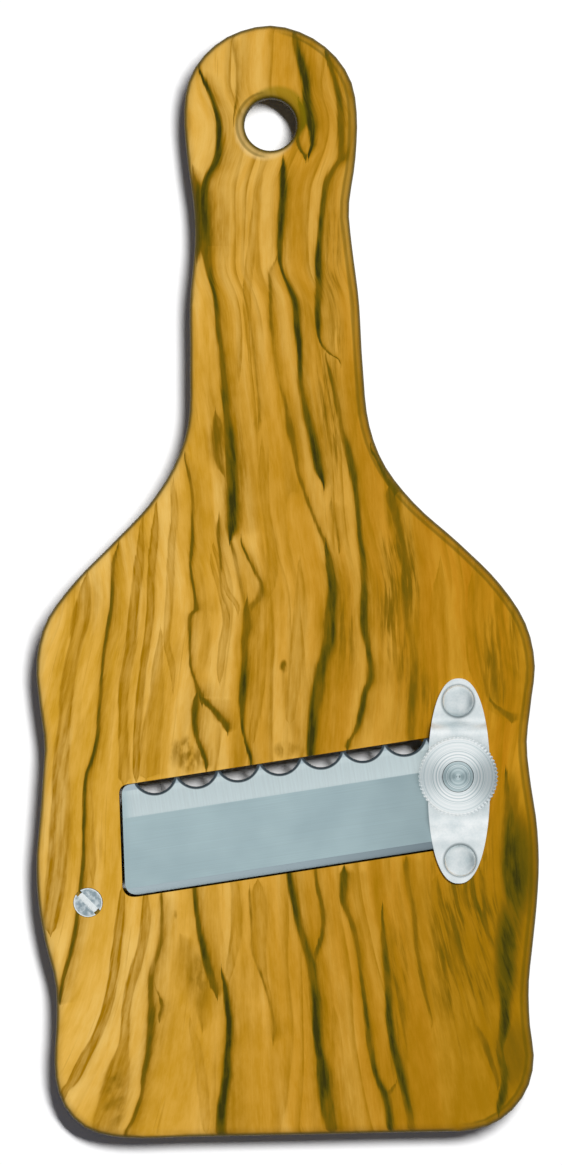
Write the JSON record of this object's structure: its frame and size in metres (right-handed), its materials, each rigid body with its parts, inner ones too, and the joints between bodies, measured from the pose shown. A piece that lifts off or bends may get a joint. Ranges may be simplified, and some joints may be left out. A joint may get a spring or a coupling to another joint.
{
  "type": "truffle slicer",
  "caption": "Hardwood hand slicer: a slanted scalloped blade tilts in a pocket over an open throat, set by a knurled knob on a riveted bridge, with a hanging hole in the handle.",
  "frame": {"origin": "centre of the board's outline, on its back face, which lies on the worktop", "axes": "+Z out of the board's face with the blade, +Y along the board to the end of its handle, +X to the right seen from the face"},
  "size_m": [0.0994, 0.22, 0.0243],
  "materials": {
    "olive_wood": "oiled olive wood, golden with dark greenish veins",
    "blade_steel": "satin stainless steel with a ground edge",
    "plain_steel": "plain stainless steel",
    "screw_steel": "bright turned steel",
    "satin_aluminium": "satin, tumbled",
    "turned_aluminium": "turned, with fine rings and a knurled rim",
    "brass": "turned",
    "spring_steel": "drawn wire"
  },
  "bodies": {
    "slicer_body": {"board": "olive_wood", "hinge_rod": "plain_steel", "rod_lock_screw": "screw_steel", "bridge": "satin_aluminium", "bridge_bush": "plain_steel", "bridge_rivet_upper": "satin_aluminium", "bridge_rivet_lower": "satin_aluminium", "rivet_washer_upper": "plain_steel", "rivet_washer_lower": "plain_steel", "lift_spring": "spring_steel"},
    "blade_set": {"blade": "blade_steel", "hinge_leaf": "plain_steel"},
    "pad_set": {"pressure_pad": "brass"},
    "knob_set": {"adjusting_knob": "turned_aluminium", "adjusting_stud": "turned_aluminium"}
  },
  "joints": [
    {"name": "screw_travel", "type": "slide", "parent": "slicer_body", "child": "pad_set", "axis": [0, 0, 1], "range_m": [-0.000222, 0.000666]},
    {"name": "knob_turn", "type": "hinge", "parent": "pad_set", "child": "knob_set", "pos_m": [0.03362, -0.03835, 0.02], "axis": [0, 0, 1], "range_deg": [-80, 240]},
    {"name": "blade_tilt", "type": "hinge", "parent": "slicer_body", "child": "blade_set", "pos_m": [-0.02974, -0.05982, 0.00995], "axis": [0.9882, 0.153, 0], "range_deg": [-1.13, 3.37], "deforming": ["lift_spring"]}
  ],
  "couplings": [
    {"joint": "knob_turn", "follows": "screw_travel", "rad_per_m": 6283.2},
    {"joint": "blade_tilt", "follows": "screw_travel", "rad_per_m": 87.965}
  ]
}
